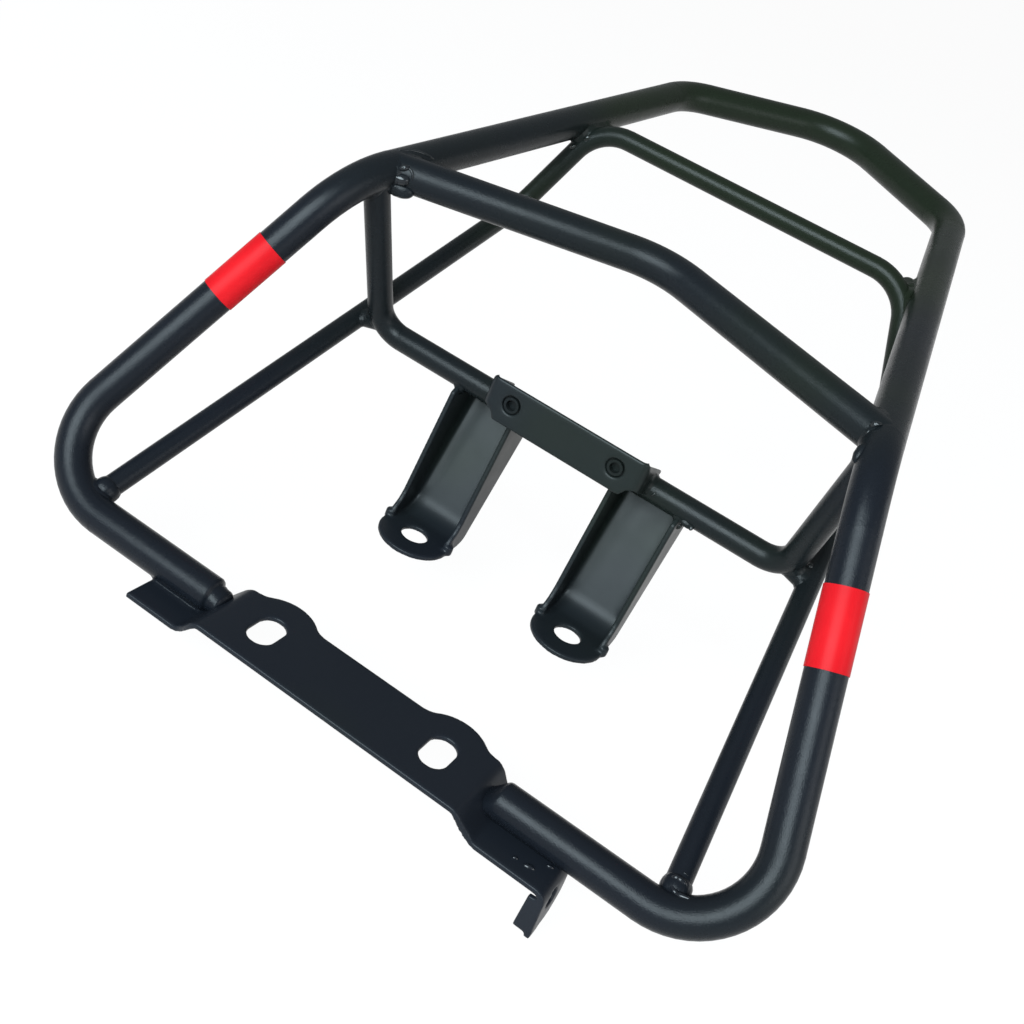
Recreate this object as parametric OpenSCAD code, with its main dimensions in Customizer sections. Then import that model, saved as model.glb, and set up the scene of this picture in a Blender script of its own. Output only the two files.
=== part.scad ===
// Rear luggage rack for a motorcycle: bent steel tube with pressed steel mounting pieces.
// The rack stands in its own fixed frame. X runs across the machine, Y runs to the rear and Z runs
// up along the four mounting bolts. The origin lies on the underside of the front plate, midway
// between its two bolt slots, and the undersides of the two feet lie in the same plane.

/* [Tube sizes] */
// outer diameter of the main loop and the crossbar
loop_d = 16; // [12:0.5:22]
// wall of the main loop and the crossbar
loop_wall = 1.5; // [1:0.1:2.5]
// diameter of the hoop rod under the crossbar
hoop_d = 12; // [8:0.5:16]
// diameter of the lower rail rod
rail_d = 10; // [6:0.5:14]

/* [Deck] */
// rise of the deck towards the rear, in degrees from the bolt plane
deck_pitch = 9.6; // [0:0.1:20]
// height of the deck axis plane where the side tubes bend down
deck_z = 149; // [100:1:200]
// distance of that bend behind the front bolts
deck_y = 96; // [60:1:140]
// half width of the deck at the front bend
deck_front_x = 121.5; // [90:0.5:160]
// half width of the deck at the rear corner
deck_rear_x = 80.5; // [50:0.5:120]
// length of the deck side, bend to rear corner
deck_side = 259.5; // [180:0.5:320]
// deck length out to the point of the rear bar
deck_point = 316; // [220:0.5:380]
// where the crossbar leaves the side tube, behind the front bend
bar_y = 24.5; // [10:0.5:60]
// how far the crossbar point lies behind the front bend
bar_point = 66; // [30:0.5:100]

/* [Bends] */
// centreline radius of the front corners
corner_r = 33; // [20:1:60]
// centreline radius where the arms turn into the deck
knee_r = 50; // [20:1:70]
// centreline radius of the rear corners
rear_r = 32; // [20:1:60]
// centreline radius of the rear bar point
point_r = 40; // [20:1:80]
// centreline radius of the crossbar point
bar_r = 45; // [20:1:90]

/* [Front corners] */
// half width of the front run, to the corner where its axis meets the arm
corner_x = 180; // [140:1:220]
// the front run lies this far behind the bolts
front_y = 2; // [-10:0.5:10]
// height of the front run axis
front_z = -1; // [-6:0.5:6]
// half the gap between the two ends of the front run
front_end_x = 72.5; // [60:0.5:90]

/* [Hoop and rail] */
// half width at the top of the hoop posts
hoop_top_x = 118.5; // [90:0.5:140]
// half width at the lower corners of the hoop
hoop_low_x = 109.5; // [80:0.5:130]
// the hoop's bottom bar lies this far behind the bolts
hoop_y = 145.5; // [120:0.5:170]
// height of the hoop's bottom bar
hoop_z = 73.5; // [50:0.5:100]
// centreline radius of the hoop corners
hoop_r = 14; // [10:0.5:30]
// half width of the rail where it leaves the front corner
rail_front_x = 142.5; // [120:0.5:170]
// half width of the rail where it turns up to the deck
rail_turn_x = 105.5; // [80:0.5:120]
// the rail turns up this far behind the bolts
rail_turn_y = 246; // [200:1:280]
// height at which it turns up
rail_turn_z = 126; // [100:1:150]
// half width of the rear cross rail at its corner
rail_deck_x = 84.5; // [60:0.5:100]
// the rear cross rail lies this far behind the knee, along the deck
rail_deck_y = 162; // [120:0.5:220]
// centreline radius of the rail's lower bends
rail_turn_r = 18; // [10:0.5:30]
// centreline radius of the cross rail's corners
rail_deck_r = 25; // [10:0.5:35]
// diameter of the short spacers welded beside the rail
spacer_d = 9; // [6:0.5:12]
// length of the rear spacers, along the side tubes
spacer_l = 16; // [8:0.5:20]
// how far a rear spacer's axis lies under the deck plane
spacer_drop = 5; // [4:0.5:8]

/* [Front plate] */
// sheet thickness of the front plate, the feet and their legs
sheet = 2.5; // [1.5:0.1:4]
// distance between the two front bolt slots
slot_gap = 85; // [60:0.5:120]
// width of a front bolt slot, across the machine
slot_w = 12; // [8:0.1:14]
// length of a front bolt slot, front to rear
slot_l = 19.5; // [12:0.1:26]
// front edge of the plate, ahead of the bolts
plate_front = 21.5; // [18:0.5:32]
// rear edge of the plate between the lobes, behind the bolts
plate_rear = 17; // [12:0.5:26]
// radius of the round lobe behind each slot
lobe_r = 17.5; // [14:0.5:22]
// half length of the plate, to its plain end
plate_half = 99; // [88:0.5:120]
// how far below its upper level the plate passes under the tube
joggle = 11; // [6:0.5:16]
// hole in the side tab
tab_hole_d = 8.5; // [5:0.1:11]

/* [Legs] */
// distance between the two foot holes
foot_gap = 87; // [60:0.5:120]
// the foot holes lie this far behind the front bolts
foot_y = 118.5; // [90:0.5:140]
// diameter of a foot hole
foot_hole_d = 13; // [8:0.1:16]
// outside width of a leg channel
leg_w = 34.5; // [28:0.5:46]
// diameter of the round foot
foot_d = 36; // [28:0.5:46]
// outer radius of the leg's two folds
fold_r = 4; // [3:0.5:8]
// backward lean of the leg, in degrees from upright
leg_lean = 22.7; // [10:0.5:35]

/* [Centre bracket] */
// half length of the centre bracket
bracket_half = 41; // [30:0.5:60]
// front face of the centre bracket, behind the bolts
bracket_y = 126; // [115:0.5:140]
// height of the top edge of the centre bracket
bracket_top = 91.2; // [80:0.5:100]
// height of its lower edge
bracket_low = 71; // [60:0.5:80]
// sheet thickness of the centre bracket
bracket_t = 2; // [1:0.1:3]
// outer radius of the fold at each end of the bracket
bracket_fold_r = 4.5; // [2.5:0.5:8]
// from the end of the bracket to the axis of a threaded boss
boss_inset = 13.75; // [10:0.25:25]
// outer diameter of a boss where it shows in the face
boss_d = 7.4; // [5:0.1:12]
// clear ring round the boss, in the face
boss_ring = 0.6; // [0.1:0.1:2]

/* [Tape] */
// length of a red marking band
tape_l = 31; // [15:0.5:50]
// thickness of the band
tape_t = 0.3; // [0.1:0.1:1]
// where the band's middle lies on the arm, as a share of the way up
tape_share = 0.68; // [0.3:0.01:0.9]

/* [Hidden] */
$fn = 64;
black = [0.10, 0.10, 0.11];
red = [0.86, 0.07, 0.08];
loop_r = loop_d / 2;
hoop_rad = hoop_d / 2;
rail_rad = rail_d / 2;
collar = 0.04;
boss_x = bracket_half - boss_inset;
boss_z = bracket_low + 11;

// a point of the deck plane, in the rack's frame: x across, v along the deck, w square to it
function deck(x, v, w = 0) =
    [x,
     deck_y + v * cos(deck_pitch) - w * sin(deck_pitch),
     deck_z + v * sin(deck_pitch) + w * cos(deck_pitch)];
function unit(v) = v / norm(v);
function flip(p) = [-p.x, p.y, p.z];
// the whole path of a tube whose left half mirrors the right half, with or without a middle point
function both(half, middle = []) =
    concat([for (p = half) flip(p)], middle, [for (i = [len(half) - 1:-1:0]) half[i]]);
// turn angle at a corner, and the straight length that the bend takes from each side
function turn(a, b, c) = acos(unit(b - a) * unit(c - b));
function setback(a, b, c, r) = r * tan(turn(a, b, c) / 2);
// matrix that carries the Z axis onto the line from a towards b
function aim(a, b) =
    let (z = unit(b - a),
         x = unit(cross(abs(z.z) < 0.9 ? [0, 0, 1] : [1, 0, 0], z)),
         y = cross(z, x))
    [[x.x, y.x, z.x, a.x], [x.y, y.y, z.y, a.y], [x.z, y.z, z.z, a.z], [0, 0, 0, 1]];
// matrix that lays a bend into its corner: its arc starts on local +X and runs towards +Y
function bend_frame(a, b, c, r) =
    let (d = unit(b - a),
         z = unit(cross(d, c - b)),
         x = -cross(z, d),
         o = b - d * setback(a, b, c, r) - x * r)
    [[x.x, d.x, z.x, o.x], [x.y, d.y, z.y, o.y], [x.z, d.z, z.z, o.z], [0, 0, 0, 1]];

loop_half = [
    [front_end_x, front_y, front_z],
    [corner_x, front_y, front_z],
    deck(deck_front_x, 0),
    deck(deck_rear_x, deck_side)];
loop_path = both(loop_half, [deck(0, deck_point)]);
loop_bends = [corner_r, knee_r, rear_r, point_r, rear_r, knee_r, corner_r];
// the side tube's half width at a distance v along the deck
function side_x(v) = deck_front_x + (deck_rear_x - deck_front_x) * v / deck_side;
bar_path = both([deck(side_x(bar_y), bar_y)], [deck(0, bar_point)]);
hoop_path = both([deck(hoop_top_x, 13.5), [hoop_low_x, hoop_y, hoop_z]]);
rail_start = [rail_front_x, front_y + 4, front_z + 3.5];
rail_path = both([rail_start, [rail_turn_x, rail_turn_y, rail_turn_z], deck(rail_deck_x, rail_deck_y, 2)]);

// round bar along a path: each corner but the first and last takes the next radius of bends.
// A hair-thin collar joins each straight to its bend, so the bar is one solid.
module bent_bar(path, bends, r) {
    last = len(path) - 1;
    cut = [for (i = [0:last])
        i == 0 || i == last ? 0 : setback(path[i - 1], path[i], path[i + 1], bends[i - 1])];
    for (i = [0:last - 1]) {
        a = path[i];
        b = path[i + 1];
        multmatrix(aim(a + unit(b - a) * cut[i], b))
            cylinder(r = r, h = norm(b - a) - cut[i] - cut[i + 1]);
    }
    for (i = [1:last - 1]) {
        multmatrix(bend_frame(path[i - 1], path[i], path[i + 1], bends[i - 1]))
            rotate_extrude(angle = turn(path[i - 1], path[i], path[i + 1]))
                translate([bends[i - 1], 0])
                    circle(r);
        for (far = [path[i - 1], path[i + 1]])
            multmatrix(aim(path[i] + unit(far - path[i]) * cut[i], far))
                cylinder(r = r + collar, h = 0.4, center = true);
    }
}

module loop_solid(r = loop_r) bent_bar(loop_path, loop_bends, r);
module bar_solid(r = loop_r) bent_bar(bar_path, [bar_r], r);
module hoop_solid() bent_bar(hoop_path, [hoop_r, hoop_r], hoop_rad);
module rail_solid() bent_bar(rail_path, [rail_turn_r, rail_deck_r, rail_deck_r, rail_turn_r], rail_rad);

// copies its child to the right side, and mirrored to the left side
module sided(side) {
    if (side > 0)
        children();
    else
        mirror([1, 0, 0]) children();
}

module main_loop() {
    color(black)
    difference() {
        loop_solid();
        loop_solid(loop_r - loop_wall);
    }
}

module crossbar() {
    color(black)
    difference() {
        bar_solid();
        bar_solid(loop_r - loop_wall);
        loop_solid();
    }
}

module hoop() {
    color(black)
    difference() {
        hoop_solid();
        loop_solid();
        bar_solid();
    }
}

module lower_rail() {
    color(black)
    difference() {
        rail_solid();
        loop_solid();
    }
}

// short rod that lies along the side tube and fills the gap to the cross rail's corner
module rear_spacer(side) {
    high = rail_deck_y + rail_d + 4;
    low = high - spacer_l;
    off = sqrt(pow(loop_r + spacer_d / 2, 2) - pow(spacer_drop, 2)) - 1;
    color(black)
    sided(side)
    difference() {
        multmatrix(aim(deck(side_x(low) - off, low, -spacer_drop),
                       deck(side_x(high) - off, high, -spacer_drop)))
            cylinder(d = spacer_d, h = spacer_l);
        loop_solid();
        rail_solid();
    }
}

// short rod that fills the gap between the hoop's lower corner and the rail
module hoop_spacer(side) {
    share = (hoop_y - 2 - rail_start.y) / (rail_path[1].y - rail_start.y);
    on_rail = flip(rail_path[0]) + (flip(rail_path[1]) - flip(rail_path[0])) * share;
    on_hoop = [hoop_low_x - 5, hoop_y - 1, hoop_z + 4];
    color(black)
    sided(side)
    difference() {
        multmatrix(aim(on_hoop, on_rail))
            cylinder(d = spacer_d, h = norm(on_rail - on_hoop));
        hoop_solid();
        rail_solid();
    }
}

// points of an arc, from angle a to angle b
function arc(c, r, a, b, n = 10) =
    [for (i = [0:n]) c + r * [cos(a + (b - a) * i / n), sin(a + (b - a) * i / n)]];
// a flat ribbon of one thickness along a line of points
function ribbon(pts, t) =
    let (n = len(pts),
         dir = [for (i = [0:n - 1]) unit(pts[min(i + 1, n - 1)] - pts[max(i - 1, 0)])],
         side = [for (d = dir) [-d.y, d.x] * t / 2])
    concat([for (i = [0:n - 1]) pts[i] + side[i]], [for (i = [n - 1:-1:0]) pts[i] - side[i]]);

joggle_x0 = 61;
joggle_x1 = 74;
function smooth(t) = t * t * (3 - 2 * t);
tab_x = 105.5;
tab_lean = 3;
tab_bend = 4.5;
tab_low = -31;

// middle line of the front plate seen from the front, left end to tab
plate_line = concat(
    [[-plate_half - 5, sheet / 2 - joggle]],
    [for (i = [0:12]) [-joggle_x1 + (joggle_x1 - joggle_x0) * i / 12, sheet / 2 - joggle * (1 - smooth(i / 12))]],
    [for (i = [0:12]) [joggle_x0 + (joggle_x1 - joggle_x0) * i / 12, sheet / 2 - joggle * smooth(i / 12)]],
    arc([tab_x - 4.5, sheet / 2 - joggle - tab_bend], tab_bend, 90, tab_lean, 10),
    [[tab_x + 1.3, tab_low]]);

// outline of the front plate seen from above, right half
lobe_y = plate_rear + 7 - lobe_r;
fillet_r = 8;
fillet_dx = sqrt(pow(lobe_r + fillet_r, 2) - pow(plate_rear + fillet_r - lobe_y, 2));
fillet_a = atan2(plate_rear + fillet_r - lobe_y, fillet_dx);
plate_half_line = concat(
    [[0, plate_rear]],
    arc([slot_gap / 2 - fillet_dx, plate_rear + fillet_r], fillet_r, -90, -fillet_a, 6),
    arc([slot_gap / 2, lobe_y], lobe_r, 180 - fillet_a, fillet_a, 14),
    arc([slot_gap / 2 + fillet_dx, plate_rear + fillet_r], fillet_r, 180 + fillet_a, 270, 6),
    arc([67, plate_rear - 7], 6.5, 85, 5, 6),
    [[tab_x + 10, plate_rear - 8], [tab_x + 10, 3.3 - plate_front]],
    [for (i = [0:6]) [72 - 8 * i / 6, 3.3 * (1 - smooth(i / 6)) - plate_front]],
    [[0, -plate_front]]);
plate_outline = concat(
    plate_half_line,
    [for (i = [len(plate_half_line) - 2:-1:1]) [-plate_half_line[i].x, plate_half_line[i].y]]);

// slot through a sheet, with its length along Y
module slot_cutter(w, l) {
    for (s = [-1, 1])
        translate([0, s * (l - w) / 2, -5])
            cylinder(d = w, h = 15);
    translate([-w / 2, -(l - w) / 2, -5])
        cube([w, l - w, 15]);
}

// the tab's shape seen from the side: straight in front, round at the free end
module tab_side() {
    translate([-7.5, -17])
        circle(13);
    translate([-plate_front + 3, tab_low])
        square([8, 30]);
    translate([-40, -12])
        square([80, 20]);
}

module front_plate() {
    color(black)
    difference() {
        intersection() {
            translate([0, plate_half, 0])
                rotate([90, 0, 0])
                    linear_extrude(2 * plate_half)
                        polygon(ribbon(plate_line, sheet));
            translate([0, 0, -plate_half])
                linear_extrude(2 * plate_half)
                    polygon(plate_outline);
            union() {
                translate([-plate_half, -plate_half, -plate_half])
                    cube([plate_half + tab_x - 9, 2 * plate_half, 2 * plate_half]);
                translate([tab_x - 10, 0, 0])
                    rotate([90, 0, 90])
                        linear_extrude(20)
                            tab_side();
            }
        }
        for (s = [-1, 1])
            translate([s * slot_gap / 2, 0, 0])
                slot_cutter(slot_w, slot_l);
        translate([tab_x - 10, -7.5, -17])
            rotate([0, 90, 0])
                cylinder(d = tab_hole_d, h = 20);
        loop_solid();
    }
    // the tab's front edge is turned in behind it
    color(black)
    translate([tab_x - 5.5, 3.3 - plate_front, tab_low + 1.5])
        cube([6, sheet, -14.5 - tab_low]);
}

// side view of a leg: foot, bend and leaning web, with y measured from the foot hole
leg_bend_y = 10.5;
leg_bend_r = 14;
leg_top = 62.5;
fold_slack = 0.05;
ear_r = 2.6;
ear_h = 5;
ear_out = foot_d / 2 - 0.8;
ear_turn = 11;
leg_knee = [leg_bend_y + leg_bend_r * cos(leg_lean), sheet / 2 + leg_bend_r * (1 - sin(leg_lean))];
leg_end = [leg_knee.x + (leg_top - leg_knee.y) * tan(leg_lean), leg_top];
leg_line = concat(
    [[-foot_d, sheet / 2]],
    arc([leg_bend_y, sheet / 2 + leg_bend_r], leg_bend_r, -90, -leg_lean, 10),
    [leg_end]);
// side flange of the channel: a free edge from the ear beside the hole up to the hoop bar, then
// back along the outside of the web
bar_from_hole = [hoop_y - foot_y, hoop_z];
flange_line = concat(
    [[1, 0.2], [1, 4.5], [3.5, 8], [6, 10.5], [8, 15]],
    [bar_from_hole - [8.6, hoop_rad],
     bar_from_hole,
     bar_from_hole + [hoop_rad + 1, -1]],
    [leg_line[len(leg_line) - 1] + [0, 2]],
    [for (i = [len(leg_line) - 1:-1:1]) leg_line[i] + (i > 10 ? [0.6, 0] : [0, 0])]);

// stock left between a square corner and its rounding of radius r, along Z
module corner_stock(r, h, spare) {
    difference() {
        cube([r + spare, r + spare, h]);
        translate([0, 0, -1])
            cylinder(r = r + fold_slack, h = h + 2);
    }
}

// lays its child along the fold between a leg's web and one flange: X runs out, Y runs back
module on_fold(s, inset, back, below) {
    mirror([s < 0 ? 1 : 0, 0, 0])
        multmatrix([
            [1, 0, 0, leg_w / 2 - inset],
            [0, cos(leg_lean), sin(leg_lean),
                leg_knee.x + back * cos(leg_lean) - below * sin(leg_lean)],
            [0, -sin(leg_lean), cos(leg_lean),
                leg_knee.y - back * sin(leg_lean) - below * cos(leg_lean)],
            [0, 0, 0, 1]])
            children();
}

module leg(side) {
    web_l = norm(leg_end - leg_knee);
    color(black)
    sided(side)
    translate([foot_gap / 2, foot_y, 0])
    difference() {
        union() {
            for (s = [-1, 1])
                on_fold(s, fold_r, sheet / 2 - fold_r, -1)
                    corner_stock(fold_r - sheet, web_l - 2, 0.5);
            intersection() {
                translate([-foot_d / 2, 0, 0])
                    rotate([90, 0, 90])
                        linear_extrude(foot_d)
                            polygon(ribbon(leg_line, sheet));
                union() {
                    translate([0, 0, -1])
                        cylinder(d = foot_d, h = 10);
                    translate([-leg_w / 2, 0, -1])
                        cube([leg_w, 80, 90]);
                }
            }
            for (s = [-1, 1])
                translate([s * (leg_w - sheet) / 2 - sheet / 2, 0, 0])
                    rotate([90, 0, 90])
                        linear_extrude(sheet)
                            polygon(flange_line);
            // rounded ears at the foot end of the flanges
            for (a = [ear_turn, 180 - ear_turn])
                rotate([0, 0, a])
                    translate([ear_out, 0, 0.4])
                        cylinder(r = ear_r, h = ear_h);
        }
        for (s = [-1, 1])
            on_fold(s, fold_r, sheet / 2 - fold_r, 12)
                corner_stock(fold_r, web_l + 20, 4);
        translate([0, 0, -5])
            cylinder(d = foot_hole_d, h = 15);
        translate([-foot_gap / 2, -foot_y, 0])
            hoop_solid();
    }
}

module centre_bracket() {
    color(black)
    difference() {
        union() {
            translate([0, bracket_y + bracket_t, 0])
                rotate([90, 0, 0])
                    linear_extrude(bracket_t)
                        polygon([
                            [-bracket_half, bracket_top],
                            [-bracket_half, bracket_low + 5.5],
                            [-bracket_half + 4.5, bracket_low + 4.5],
                            [-bracket_half + 7.5, bracket_low],
                            [bracket_half - 7.5, bracket_low],
                            [bracket_half - 4.5, bracket_low + 4.5],
                            [bracket_half, bracket_low + 5.5],
                            [bracket_half, bracket_top]]);
            for (s = [-1, 1])
                translate([s * (bracket_half - bracket_t / 2) - bracket_t / 2, 0, 0])
                    rotate([90, 0, 90])
                        linear_extrude(bracket_t)
                            polygon([
                                [bracket_y, bracket_top],
                                [bracket_y, bracket_low + 5.5],
                                [hoop_y - 4, hoop_z - 3],
                                [hoop_y, hoop_z],
                                [hoop_y + 11, hoop_z + 4],
                                [hoop_y + 11, hoop_z + 5]]);
            for (s = [0, 1])
                mirror([s, 0, 0])
                    translate([bracket_half - bracket_fold_r, bracket_y + bracket_fold_r, bracket_low + 5.5])
                        mirror([0, 1, 0])
                            corner_stock(bracket_fold_r - bracket_t, bracket_top - bracket_low - 5.5, 0.5);
        }
        hoop_solid();
        for (s = [0, 1])
            mirror([s, 0, 0])
                translate([bracket_half - bracket_fold_r, bracket_y + bracket_fold_r, bracket_low - 5])
                    mirror([0, 1, 0])
                        corner_stock(bracket_fold_r, bracket_top - bracket_low + 10, 2);
        for (s = [-1, 1])
            translate([s * boss_x, bracket_y + 5, boss_z])
                rotate([90, 0, 0])
                    cylinder(d = boss_d + 2 * boss_ring, h = 10);
    }
}

// threaded boss: its nose shows in the hole of the bracket and its collar sits behind the sheet
module boss(side) {
    color(black)
    translate([side * boss_x, bracket_y + 0.3, boss_z])
        rotate([-90, 0, 0])
            difference() {
                union() {
                    cylinder(d = boss_d, h = bracket_t - 0.3);
                    translate([0, 0, bracket_t - 0.3])
                        cylinder(d = boss_d + 4, h = 4);
                }
                translate([0, 0, -1])
                    cylinder(d = 5, h = 4);
            }
}

module tape(side) {
    color(red)
    sided(side)
    multmatrix(aim(loop_half[1], loop_half[2]))
        translate([0, 0, norm(loop_half[2] - loop_half[1]) * tape_share - tape_l / 2])
            difference() {
                cylinder(r = loop_r + tape_t, h = tape_l);
                translate([0, 0, -1])
                    cylinder(r = loop_r, h = tape_l + 2);
            }
}

main_loop();
crossbar();
hoop();
lower_rail();
rear_spacer(-1);  // rear_spacer_left
rear_spacer(1);  // rear_spacer_right
hoop_spacer(-1);  // hoop_spacer_left
hoop_spacer(1);  // hoop_spacer_right
front_plate();
leg(-1);  // leg_left
leg(1);  // leg_right
centre_bracket();
boss(-1);  // boss_left
boss(1);  // boss_right
tape(-1);  // tape_left
tape(1);  // tape_right
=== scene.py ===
import math

import bmesh
import bpy
import numpy as np
from mathutils import Matrix, Vector, noise
from mathutils.bvhtree import BVHTree


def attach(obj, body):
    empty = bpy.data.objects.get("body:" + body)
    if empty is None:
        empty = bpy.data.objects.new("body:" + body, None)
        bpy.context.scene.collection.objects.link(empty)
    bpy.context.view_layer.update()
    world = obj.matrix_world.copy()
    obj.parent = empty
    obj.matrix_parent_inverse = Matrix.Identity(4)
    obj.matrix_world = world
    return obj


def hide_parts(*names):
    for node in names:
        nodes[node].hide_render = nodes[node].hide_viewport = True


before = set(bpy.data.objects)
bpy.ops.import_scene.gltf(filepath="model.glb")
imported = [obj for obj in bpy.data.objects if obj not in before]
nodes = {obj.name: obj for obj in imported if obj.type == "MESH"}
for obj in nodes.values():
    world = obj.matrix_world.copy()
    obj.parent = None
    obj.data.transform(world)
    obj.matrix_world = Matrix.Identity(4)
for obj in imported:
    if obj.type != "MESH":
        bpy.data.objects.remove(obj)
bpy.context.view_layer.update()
MM = 0.001
PICTURE = 1024  # the photograph's width and height, in its pixels
FOCUS, VIEW_X, VIEW_Y = 1291.1, 435.1, 516.3  # focal length and principal point, in those pixels
EYE = (0.1373, -0.3726, 0.3213)
FLOOR_Z, FLOOR_HALF = -0.034, 60

# camera at the photograph's viewing angle
forward = Vector((-0.2896, 0.8134, -0.5045)).normalized()
up = Vector((-0.5178, 0.3101, 0.7973))
right = forward.cross(up).normalized()
up = right.cross(forward)
cam_data = bpy.data.cameras.new("camera")
cam = bpy.data.objects.new("camera", cam_data)
bpy.context.collection.objects.link(cam)
cam.matrix_world = Matrix((
    (right.x, up.x, -forward.x, EYE[0]),
    (right.y, up.y, -forward.y, EYE[1]),
    (right.z, up.z, -forward.z, EYE[2]),
    (0, 0, 0, 1)))
cam_data.sensor_width = 36
cam_data.lens = FOCUS / PICTURE * cam_data.sensor_width
cam_data.shift_x = (PICTURE / 2 - VIEW_X) / PICTURE
cam_data.shift_y = (VIEW_Y - PICTURE / 2) / PICTURE
cam_data.clip_end = 400
bpy.context.scene.camera = cam
bpy.context.scene.view_settings.view_transform = "Standard"


# materials
class Nodes:
    """A small helper that adds shader nodes and links them."""

    def __init__(self, name):
        self.mat = bpy.data.materials.new(name)
        self.mat.use_nodes = True
        self.tree = self.mat.node_tree
        self.shader = self.tree.nodes["Principled BSDF"]
        coords = self.tree.nodes.new("ShaderNodeTexCoord")
        self.place = coords.outputs["Object"]

    def add(self, kind, **values):
        node = self.tree.nodes.new(kind)
        for key, value in values.items():
            if hasattr(node, key):
                setattr(node, key, value)
            else:
                node.inputs[key].default_value = value
        return node

    def link(self, a, b):
        self.tree.links.new(a, b)

    def set(self, **values):
        for key, value in values.items():
            self.shader.inputs[key.replace("_", " ")].default_value = value

    def noise(self, scale, detail=3.0, rough=0.5, stretch=(1, 1, 1)):
        move = self.add("ShaderNodeMapping")
        move.inputs["Scale"].default_value = stretch
        self.link(self.place, move.inputs["Vector"])
        tex = self.add("ShaderNodeTexNoise", Scale=scale, Detail=detail, Roughness=rough)
        self.link(move.outputs["Vector"], tex.inputs["Vector"])
        return tex.outputs["Fac"]

    def ramp(self, fac, stops):
        node = self.add("ShaderNodeValToRGB")
        while len(node.color_ramp.elements) < len(stops):
            node.color_ramp.elements.new(0.5)
        for element, (pos, color) in zip(node.color_ramp.elements, stops):
            element.position = pos
            element.color = (*color, 1)
        self.link(fac, node.inputs["Fac"])
        return node.outputs["Color"]

    def span(self, fac, low, high, start=0.3, end=0.7):
        node = self.add("ShaderNodeMapRange")
        node.inputs["From Min"].default_value = start
        node.inputs["From Max"].default_value = end
        node.inputs["To Min"].default_value = low
        node.inputs["To Max"].default_value = high
        self.link(fac, node.inputs["Value"])
        return node.outputs["Result"]

    def bump(self, height, strength, distance, below=None):
        node = self.add("ShaderNodeBump", Strength=strength, Distance=distance)
        self.link(height, node.inputs["Height"])
        if below is not None:
            self.link(below, node.inputs["Normal"])
        return node.outputs["Normal"]


# painted reflection: the paint looks bluer at the front of the rack and greener towards its rear, standing
# in for the coloured surroundings it reflects; noise adds random tone on top
TONE_AND_REFLECTION_TINTS = (
    (0.38, (0.0048, 0.0060, 0.0084)),
    (0.55, (0.0056, 0.0072, 0.0078)),
    (0.72, (0.0068, 0.0100, 0.0058)))
REFLECTION_TINT_FRONT_Y, REFLECTION_TINT_REAR_Y = 0.05, 0.32


def black_paint(name, rough=0.27, peel=0.34, gloss=0.115, depth=1.0):
    """Satin black, with painted reflection in its colour, bluer at the front and greener at the rear. peel
    is how strong its fine bumps are, and depth scales its colour; a depth above 1 is painted light that
    makes a surface read brighter.
    """
    n = Nodes(name)
    spread = n.add("ShaderNodeSeparateXYZ")
    n.link(n.place, spread.inputs[0])
    mixed = n.add("ShaderNodeMath", operation="MULTIPLY_ADD")
    n.link(n.noise(9.0, 2.0), mixed.inputs[0])
    mixed.inputs[1].default_value = 0.7
    # painted reflection: the colour shifts from blue to green between these heights along y
    n.link(n.span(spread.outputs["Y"], 0.0, 0.42, REFLECTION_TINT_FRONT_Y, REFLECTION_TINT_REAR_Y), mixed.inputs[2])
    stops = [(pos, tuple(depth * part for part in color)) for pos, color in TONE_AND_REFLECTION_TINTS]
    tone_and_painted_reflection = n.ramp(mixed.outputs[0], stops)
    n.link(tone_and_painted_reflection, n.shader.inputs["Base Color"])
    n.link(n.span(n.noise(60.0, 5.0, 0.6), rough - 0.04, rough + 0.05), n.shader.inputs["Roughness"])
    grain = n.bump(n.noise(2200.0, 2.0), peel, 0.0003)
    n.link(n.bump(n.noise(300.0, 3.0), 0.3 * peel, 0.0005, grain), n.shader.inputs["Normal"])
    n.set(Specular_IOR_Level=gloss)
    return n.mat


def red_film(name):
    n = Nodes(name)
    n.link(n.ramp(n.noise(40.0), [(0.3, (0.33, 0.004, 0.007)), (0.7, (0.38, 0.006, 0.009))]),
           n.shader.inputs["Base Color"])
    n.link(n.span(n.noise(30.0), 0.34, 0.46), n.shader.inputs["Roughness"])
    n.link(n.bump(n.noise(60.0, 2.0, 0.5, (1, 0.3, 1)), 0.15, 0.0005), n.shader.inputs["Normal"])
    n.set(Specular_IOR_Level=0.05)
    return n.mat


paint = black_paint("black_paint")
# painted light: the sheets get the same black paint with its colour made 1.35 times lighter, so that their
# faces read brighter, as if more lit
lightened_sheet_paint = black_paint("lightened_sheet_paint", 0.36, 0.05, 0.135, 1.35)
weld_paint = black_paint("weld_paint", 0.17, 0.04, 0.32)
film = red_film("red_film")
for name, obj in nodes.items():
    for slot in obj.material_slots:
        slot.material = film if name.startswith("tape") else paint


# mesh helpers
def mesh_of(source):
    """Corners and faces of a CAD node, with the doubled corners of its faces joined."""
    bm = bmesh.new()
    bm.from_mesh(nodes[source].data)
    bm.transform(nodes[source].matrix_world)
    bmesh.ops.remove_doubles(bm, verts=bm.verts, dist=1e-6)
    return bm


def outer_skin(bm):
    """Drops a sealed hollow: only the loose part that reaches furthest stays."""
    left = set(bm.verts)
    groups = []
    while left:
        group = {left.pop()}
        edge = list(group)
        while edge:
            for link in edge.pop().link_edges:
                for vert in link.verts:
                    if vert in left:
                        left.discard(vert)
                        group.add(vert)
                        edge.append(vert)
        groups.append(group)

    def reach(group):
        spans = [[f(v.co[i] for v in group) for f in (min, max)] for i in range(3)]
        return sum(high - low for low, high in spans)
    keep = max(groups, key=reach)
    bmesh.ops.delete(bm, geom=[v for v in bm.verts if v not in keep], context="VERTS")


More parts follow.
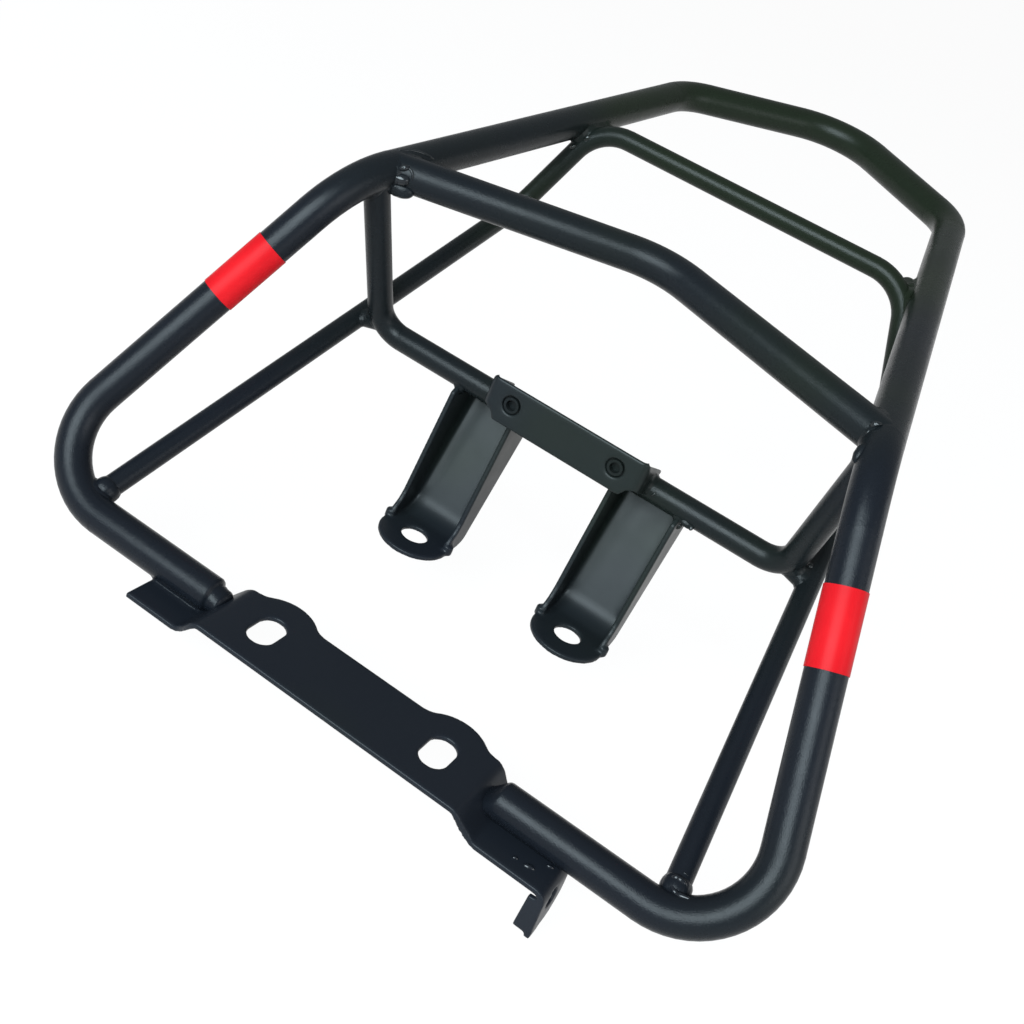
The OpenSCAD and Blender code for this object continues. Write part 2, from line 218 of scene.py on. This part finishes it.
def add_object(name, mesh, material=paint, node=None):
    obj = bpy.data.objects.new(name, mesh)
    bpy.context.collection.objects.link(obj)
    mesh.materials.clear()
    mesh.materials.append(material)
    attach(obj, "root")
    if node is not None:
        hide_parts(*node)
    return obj


def voxel_mesh(name, bms, voxel):
    """One closed skin over these meshes, rebuilt from voxels."""
    mesh = bpy.data.meshes.new(name + "_raw")
    whole = bmesh.new()
    for bm in bms:
        part = bpy.data.meshes.new("part")
        bm.to_mesh(part)
        whole.from_mesh(part)
        bpy.data.meshes.remove(part)
    whole.to_mesh(mesh)
    whole.free()
    raw = bpy.data.objects.new(name + "_raw", mesh)
    bpy.context.collection.objects.link(raw)
    mod = raw.modifiers.new("voxels", "REMESH")
    mod.mode = "VOXEL"
    mod.voxel_size = voxel
    mod.use_smooth_shade = True
    depsgraph = bpy.context.evaluated_depsgraph_get()
    out = bpy.data.meshes.new_from_object(raw.evaluated_get(depsgraph))
    out.name = name
    bpy.data.objects.remove(raw)
    bpy.data.meshes.remove(mesh)
    return out


def corners(mesh):
    flat = np.empty(len(mesh.vertices) * 3, dtype=np.float32)
    mesh.vertices.foreach_get("co", flat)
    return flat.reshape(-1, 3).astype(float)


def normals(mesh):
    flat = np.empty(len(mesh.vertices) * 3, dtype=np.float32)
    mesh.vertex_normals.foreach_get("vector", flat)
    return flat.reshape(-1, 3).astype(float)


def smoothed(mesh, points, passes):
    """Laplacian smoothing: each pass moves a point half way to the middle of its neighbours."""
    flat = np.empty(len(mesh.edges) * 2, dtype=np.int32)
    mesh.edges.foreach_get("vertices", flat)
    a, b = flat.reshape(-1, 2).T
    count = len(points)
    degree = np.maximum(np.bincount(a, minlength=count) + np.bincount(b, minlength=count), 1)
    for _ in range(passes):
        mean = np.empty_like(points)
        for i in range(3):
            total = np.bincount(a, points[b, i], count) + np.bincount(b, points[a, i], count)
            mean[:, i] = total / degree
        points = points + 0.5 * (mean - points)
    return points


def set_corners(mesh, points):
    mesh.vertices.foreach_set("co", points.astype(np.float32).ravel())
    mesh.update()


SHEET_VOXEL = 0.55 * MM
FILL_FADE = 6 * MM  # height over which the fill grows to its full share
FILL_LEAST = 0.0005 * MM  # what a pass has to raise a point by before it counts as a fold


def pressed_sheet(source, fill=0, fill_above=0, passes=7):
    """A pressed sheet with its edges rounded, in the place of its CAD node.
    fill softens the inner side of the folds, from the height fill_above up."""
    bm = mesh_of(source)
    mesh = voxel_mesh(source + "_sheet", [bm], SHEET_VOXEL)
    bm.free()
    points = smoothed(mesh, corners(mesh), passes)
    way = normals(mesh)
    share = np.clip((points[:, 2] - fill_above) / FILL_FADE, 0, 1)
    for _ in range(fill):
        gain = ((smoothed(mesh, points, 1) - points) * way).sum(axis=1)
        points = points + way * (np.maximum(gain - FILL_LEAST, 0) * share)[:, None]
    set_corners(mesh, points)
    return add_object(source + "_sheet", mesh, lightened_sheet_paint, [source])


pressed_sheet("front_plate")
pressed_sheet("centre_bracket", passes=11)
for source in ("leg_left", "leg_right"):
    pressed_sheet(source, 130, 9 * MM)


BEAD_FULL = 0.10 * MM  # rise by smoothing that makes a full bead
BEAD_LEAST = 0.3 * BEAD_FULL
BEAD_EDGE = 0.01  # share of a full bead where its strip ends
BEAD_EXTRA = 0.22  # a bead's added height, in mm
BEAD_SINK = 0.25 * MM  # how far a strip's edge lies under the metal
BEAD_BACK = 0.4 * MM  # depth of a strip's inner side
RIPPLE_LENGTH = 2.0 * MM
# the right end of the plate is pressed up to the tube without a bead
BARE_FROM_X, BARE_TO_Y, BARE_TO_Z = 60 * MM, 24 * MM, 10 * MM


def weld_beads(title, members, voxel, passes, near, uneven=0.32):
    """Weld beads: a skin over the joined nodes is smoothed, and the strips that rise at a seam stay.
    A seam is where two of the nodes lie within near, and uneven is the height of the ripple, in mm."""
    parts = {name: mesh_of(name) for name in members}
    if "main_loop" in parts:
        outer_skin(parts["main_loop"])
    skins = [BVHTree.FromBMesh(bm) for bm in parts.values()]
    mesh = voxel_mesh(title, parts.values(), voxel)
    start = corners(mesh)
    way = normals(mesh)
    end = smoothed(mesh, start, passes)
    rise = ((end - start) * way).sum(axis=1)
    seam = np.zeros(len(start), dtype=bool)
    for i in np.flatnonzero(rise > BEAD_LEAST):
        point = Vector(start[i])
        seam[i] = sum(skin.find_nearest(point, near)[0] is not None for skin in skins) > 1
    mask = np.clip((rise - BEAD_LEAST) / BEAD_FULL, 0, 1) * seam
    mask = smoothed(mesh, np.repeat(mask[:, None], 3, axis=1), 2)[:, 0]
    for i in np.flatnonzero(mask > BEAD_EDGE):
        ripple = noise.noise(Vector(start[i]) / RIPPLE_LENGTH)
        end[i] += way[i] * mask[i] * (BEAD_EXTRA + uneven * ripple) * MM
    end -= way * ((1 - mask) * BEAD_SINK)[:, None]
    set_corners(mesh, end)
    x, y, z = start.T
    keep = (mask > BEAD_EDGE) & ~((x > BARE_FROM_X) & (y < BARE_TO_Y) & (z < BARE_TO_Z))
    bm = bmesh.new()
    bm.from_mesh(mesh)
    bm.verts.ensure_lookup_table()
    bmesh.ops.delete(bm, geom=[v for v in bm.verts if not keep[v.index]], context="VERTS")
    bmesh.ops.delete(bm, geom=[v for v in bm.verts if not v.link_faces], context="VERTS")
    # each strip gets an inner side under the metal, so that it is closed
    bmesh.ops.solidify(bm, geom=bm.faces[:], thickness=BEAD_BACK)
    bmesh.ops.recalc_face_normals(bm, faces=bm.faces)
    bm.to_mesh(mesh)
    bm.free()
    for part in parts.values():
        part.free()
    return add_object(title, mesh)


tube_nodes = [name for name in nodes if name.startswith(("main", "cross", "hoop", "lower", "rear"))]
sheet_nodes = ["front_plate", "leg_left", "leg_right", "centre_bracket", "main_loop", "hoop"]
weld_beads("tube_welds", tube_nodes, 0.9 * MM, 26, 4.5 * MM)
weld_beads("sheet_welds", sheet_nodes, 0.7 * MM, 20, 3.0 * MM, 0.08)


trees = {}


def nodes_tree(name):
    """The search tree over a CAD node's faces, made once."""
    if name not in trees:
        bm = mesh_of(name)
        trees[name] = BVHTree.FromBMesh(bm)
        bm.free()
    return trees[name]


def nearest_spot(point, names):
    """The spot on these CAD nodes that lies nearest to a point."""
    spots = [nodes_tree(name).find_nearest(point)[0] for name in names]
    return min(spots, key=lambda spot: (spot - point).length)


def cast(x, y, names):
    """The point and the outward direction where the photograph's pixel x, y meets these CAD nodes."""
    ray = (forward + right * ((x - VIEW_X) / FOCUS) - up * ((y - VIEW_Y) / FOCUS)).normalized()
    eye = cam.matrix_world.translation
    hits = []
    for name in names:
        point, way, _, far = nodes_tree(name).ray_cast(eye, ray)
        if point is not None:
            hits.append((far, point, way))
    _, point, way = min(hits)
    return point, (way if way.dot(ray) < 0 else -way)


def grid_faces(rings, spokes, closed=False):
    """Faces over a row of rings of corners. The row's ends are capped, or meet where it is closed."""
    count = rings * spokes
    faces = [] if closed else [tuple(range(spokes)), tuple(range(count - 1, count - 1 - spokes, -1))]
    for i in range(rings if closed else rings - 1):
        n = (i + 1) % rings
        for j in range(spokes):
            k = (j + 1) % spokes
            faces.append((i * spokes + j, n * spokes + j, n * spokes + k, i * spokes + k))
    return faces


def add_mesh(name, verts, faces, material=paint):
    mesh = bpy.data.meshes.new(name)
    mesh.from_pydata([tuple(v) for v in verts], [], faces)
    bm = bmesh.new()
    bm.from_mesh(mesh)
    bmesh.ops.recalc_face_normals(bm, faces=bm.faces)
    if bm.calc_volume(signed=True) < 0:
        bmesh.ops.reverse_faces(bm, faces=bm.faces)
    bm.to_mesh(mesh)
    bm.free()
    mesh.shade_smooth()
    return add_object(name, mesh, material)


def weld_lump(name, pixel, size, height, turn=0, carrier=(), material=weld_paint):
    """A drop of weld, size long and wide, on the node that the photograph shows at a pixel.
    turn is its long side's angle in the picture."""
    point, way = cast(*pixel, carrier)
    along = right * math.cos(math.radians(turn)) + up * math.sin(math.radians(turn))
    along = (along - way * along.dot(way)).normalized()
    side = way.cross(along)
    rings, spokes = 14, 40
    verts = []
    for i in range(rings + 1):
        r = max(i, 0.02) / rings
        for j in range(spokes):
            a = math.tau * j / spokes
            wobble = 1 + 0.12 * noise.noise(Vector((math.cos(a), math.sin(a), point.x * 90)))
            x, y = r * math.cos(a) * wobble, r * math.sin(a) * wobble
            rise = height * (max(0, 1 - r ** 2.4) ** 0.6)
            rise *= 1 + 0.10 * noise.noise(Vector((3 * x, 3 * y, point.y * 90)))
            flat = point + (along * x * size[0] + side * y * size[1]) * (MM / 2)
            # the rim goes a quarter of a millimetre into the metal
            verts.append(nearest_spot(flat, carrier) + way * (rise - 0.25 * r ** 6) * MM)
    return add_mesh(name, verts, grid_faces(rings + 1, spokes), material)


def weld_line(name, pixels, width, height, carrier):
    """A narrow seam of weld along the photograph's pixels, on these nodes."""
    spots = [cast(*pixel, carrier) for pixel in pixels]
    steps = 8
    path = []
    for (a, up_a), (b, up_b) in zip(spots, spots[1:]):
        for i in range(steps):
            path.append((a.lerp(b, i / steps), up_a.lerp(up_b, i / steps).normalized()))
    path.append(spots[-1])
    verts = []
    spokes = 10
    for i, (point, way) in enumerate(path):
        near = nearest_spot(point, carrier)
        before, after = path[max(i - 1, 0)][0], path[min(i + 1, len(path) - 1)][0]
        side = way.cross(after - before).normalized()
        share = math.sin(math.pi * (0.04 + 0.92 * i / (len(path) - 1))) ** 0.5
        share *= 1 + 0.15 * noise.noise(point * 900)
        for j in range(spokes):
            a = math.tau * j / spokes
            verts.append(near + side * (width / 2 * share * math.cos(a) * MM)
                         + way * ((height * share * math.sin(a) - 0.1) * MM))
    return add_mesh(name, verts, grid_faces(len(path), spokes), weld_paint)


def weld_ring(name, start, end, reach, radius, thick):
    """A ring of weld round a bar that runs from start to end, in mm, reach along it."""
    start, end = Vector(start), Vector(end)
    axis = (end - start).normalized()
    side = axis.cross(Vector((0, 0, 1))).normalized()
    rise = side.cross(axis)
    turns, spokes = 64, 14
    verts = []
    for i in range(turns):
        a = math.tau * i / turns
        out = side * math.cos(a) + rise * math.sin(a)
        own = thick * (1 + 0.14 * noise.noise(out * 2.5) + 0.06 * noise.noise(out * 9))
        for j in range(spokes):
            b = math.tau * j / spokes
            along = axis * (reach + 1.9 * own * math.sin(b))
            verts.append((start + along + out * (radius + own * math.cos(b))) * MM)
    return add_mesh(name, verts, grid_faces(turns, spokes, closed=True))


# welds where the photograph shows them: name, pixel or pixels, then sizes in mm, and the nodes below
tops = ("main_loop", "crossbar")
hoop_corner = ("hoop", "hoop_spacer_right", "lower_rail")
post = ("crossbar", "hoop", "main_loop")
rear_left = ("main_loop", "lower_rail", "rear_spacer_left")
rear_right = ("main_loop", "lower_rail", "rear_spacer_right")
rail_foot = ("main_loop", "lower_rail")
leg_top = ("leg_right", "hoop")
weld_lump("top_weld_left_a", (401, 180), (7.6, 5.6), 1.9, turn=-5, carrier=tops)
weld_lump("top_weld_left_b", (404, 168), (5.2, 3.0), 1.5, turn=4, carrier=tops)
weld_line("top_seam_left_a", [(407, 167), (411, 170), (413, 175), (412, 181)], 1.3, 0.8, tops)
weld_line("top_seam_left_b", [(399, 150), (412, 150), (420, 152), (427, 155), (434, 159)], 1.5, 0.6, tops)
weld_lump("post_weld_left", (400, 190), (13.0, 9.0), 3.4, turn=-16, carrier=post, material=paint)
weld_lump("top_weld_right", (876, 425), (5.0, 3.2), 1.7, turn=-5, carrier=tops)
weld_line("top_seam_right", [(866, 434), (869, 431), (873, 428)], 1.2, 0.7, tops)
weld_lump("post_weld_right", (859, 453), (9.0, 5.0), 1.8, turn=78, carrier=post, material=paint)
weld_lump("rear_weld_a", (577, 139), (3.2, 4.0), 1.2, carrier=rear_left)
weld_lump("rear_weld_b", (587, 138), (4.0, 2.6), 1.0, turn=20, carrier=rear_left)
weld_lump("rear_weld_c", (573, 147), (4.0, 2.2), 1.4, turn=15, carrier=rear_left)
weld_lump("rear_fill_right", (911, 289), (10.0, 5.0), 2.2, turn=78, carrier=rear_right, material=paint)
weld_line("foot_seam_a", [(671, 879), (677, 878), (682, 882), (686, 888)], 2.6, 1.9, rail_foot)
weld_line("foot_seam_b", [(671, 884), (674, 891), (681, 896), (690, 899)], 2.4, 1.3, rail_foot)
weld_line("foot_seam_c", [(683, 872), (688, 876)], 0.9, 0.5, rail_foot)
weld_lump("hoop_weld_right", (810, 566), (3.4, 3.4), 1.3, carrier=hoop_corner)
weld_lump("leg_mass", (687, 524), (7.0, 4.0), 1.8, turn=-25, carrier=leg_top, material=paint)
weld_lump("leg_weld_a", (679, 525), (4.4, 2.6), 1.6, turn=70, carrier=leg_top)
weld_lump("leg_weld_b", (692, 527), (2.2, 2.2), 1.9, carrier=leg_top)
weld_line("ear_seam", [(650, 497), (653, 495), (656, 492)], 1.0, 0.6, ("centre_bracket", "hoop"))
weld_lump("plate_weld_a", (529, 867), (5.0, 2.2), 0.9, turn=-30, carrier=("front_plate",))
weld_lump("plate_weld_b", (515, 858), (2.6, 1.6), 0.7, turn=-30, carrier=("front_plate",))
weld_lump("plate_weld_c", (550, 867), (3.2, 1.6), 0.8, turn=-30, carrier=("front_plate", "main_loop"))
weld_lump("end_weld_right", (497, 797), (4.4, 3.4), 1.0, turn=60, carrier=("main_loop", "front_plate"))
for side in (-1, 1):
    # the rail's first straight, from its start in the loop's front corner to its turn
    weld_ring("rail_ring_" + ("right" if side > 0 else "left"),
              (side * 142.5, 6, 2.5), (side * 105.5, 246, 126), 5.6, 4.0, 2.1)


def crimped_end(side):
    """The loop's end, crimped to a short neck that runs into the step of the plate.
    A ring is its place along x, its half width and half height, and how far it drops, in mm."""
    centre_y, centre_z = 2.0, -1.0
    neck = [
        (69.6, 6.5, 6.0, 0.3), (69.0, 6.3, 5.8, 0.4), (67.6, 6.3, 5.6, 0.5), (66.6, 6.4, 5.5, 0.6),
        (66.0, 6.2, 5.1, 0.8), (65.2, 5.6, 4.4, 1.0), (64.6, 4.2, 3.2, 1.1), (64.3, 1.5, 1.2, 1.1)]
    if side > 0:
        neck = [
            (71.7, 7.85, 7.8, 0.05), (71.0, 7.8, 7.5, 0.3), (70.2, 7.7, 7.0, 0.8), (69.2, 7.5, 6.2, 1.4),
            (68.2, 7.2, 5.4, 2.0), (67.2, 6.7, 4.6, 2.4), (66.2, 5.8, 3.6, 2.6), (65.4, 4.2, 2.4, 2.6),
            (65.0, 1.8, 1.0, 2.6)]
    else:
        neck = [
            (71.7, 7.6, 7.55, 0), (71.2, 7.0, 6.9, 0.1), (70.8, 6.5, 6.3, 0.2),
            (70.2, 6.35, 5.9, 0.3)] + neck
    rings = [(72.9, 7.95, 7.95, 0), (72.3, 7.9, 7.9, 0)] + neck
    spokes = 56
    verts = []
    for x, wide, tall, drop in rings:
        for j in range(spokes):
            a = math.tau * j / spokes
            ripple = 1 + 0.012 * noise.noise(Vector((x / 1.5, 3 * math.cos(a), 3 * math.sin(a))))
            verts.append(Vector((
                side * x,
                centre_y + wide * ripple * math.cos(a),
                centre_z - drop + tall * ripple * math.sin(a))) * MM)
    title = "crimped_end_" + ("right" if side > 0 else "left")
    return add_mesh(title, verts, grid_faces(len(rings), spokes))


for side in (-1, 1):
    crimped_end(side)


# floor and light
def white_floor(name, own=0.94):
    """A white floor: part of its white is plain, and part takes the object's shadow."""
    n = Nodes(name)
    n.shader.inputs["Base Color"].default_value = (0.95, 0.952, 0.955, 1)
    n.shader.inputs["Roughness"].default_value = 0.9
    n.set(Specular_IOR_Level=0.1)
    path = n.add("ShaderNodeLightPath")
    seen = n.add("ShaderNodeMath", operation="MAXIMUM")
    n.link(path.outputs["Is Camera Ray"], seen.inputs[0])
    n.link(path.outputs["Is Glossy Ray"], seen.inputs[1])
    every = n.add("ShaderNodeMath", operation="MAXIMUM")
    n.link(seen.outputs[0], every.inputs[0])
    n.link(path.outputs["Is Transmission Ray"], every.inputs[1])
    share = n.add("ShaderNodeMath", operation="MULTIPLY")
    n.link(every.outputs[0], share.inputs[0])
    share.inputs[1].default_value = own
    glow = n.add("ShaderNodeEmission")
    glow.inputs["Color"].default_value = (1, 1, 1, 1)
    mix = n.add("ShaderNodeMixShader")
    n.link(share.outputs[0], mix.inputs[0])
    n.link(n.shader.outputs[0], mix.inputs[1])
    n.link(glow.outputs[0], mix.inputs[2])
    n.link(mix.outputs[0], n.tree.nodes["Material Output"].inputs["Surface"])
    return n.mat


mesh = bpy.data.meshes.new("floor")
floor_corners = [(x * FLOOR_HALF, y * FLOOR_HALF, FLOOR_Z) for x, y in ((-1, -1), (1, -1), (1, 1), (-1, 1))]
mesh.from_pydata(floor_corners, [], [(0, 1, 2, 3)])
floor = bpy.data.objects.new("floor", mesh)
bpy.context.collection.objects.link(floor)
mesh.materials.append(white_floor("floor"))

world = bpy.data.worlds.new("studio")
bpy.context.scene.world = world
world.use_nodes = True
world.node_tree.nodes["Background"].inputs["Color"].default_value = (0.94, 0.97, 1.0, 1)
world.node_tree.nodes["Background"].inputs["Strength"].default_value = 0.42


def softbox(name, azimuth, elevation, distance, size, power, color=(1, 1, 1)):
    """A lamp that looks at the object. Azimuth 0 is in front of it, and 90 on the tab's side."""
    target = Vector((0, 0.17, 0.09))
    a, e = math.radians(azimuth), math.radians(elevation)
    place = target + distance * Vector((math.sin(a) * math.cos(e), -math.cos(a) * math.cos(e), math.sin(e)))
    data = bpy.data.lights.new(name, "AREA")
    data.shape = "RECTANGLE"
    data.size, data.size_y = size
    data.energy = power
    data.color = color
    lamp = bpy.data.objects.new(name, data)
    bpy.context.collection.objects.link(lamp)
    lamp.location = place
    lamp.rotation_euler = (target - place).to_track_quat("-Z", "Y").to_euler()


softbox("window", -6, 30, 2.2, (1.8, 1.3), 122, (0.79, 0.935, 1.0))
softbox("side", 72, 14, 2.2, (1.4, 1.2), 20, (0.95, 0.98, 1.0))
softbox("rim", 125, 8, 2.2, (1.0, 0.6), 4, (0.95, 0.98, 1.0))
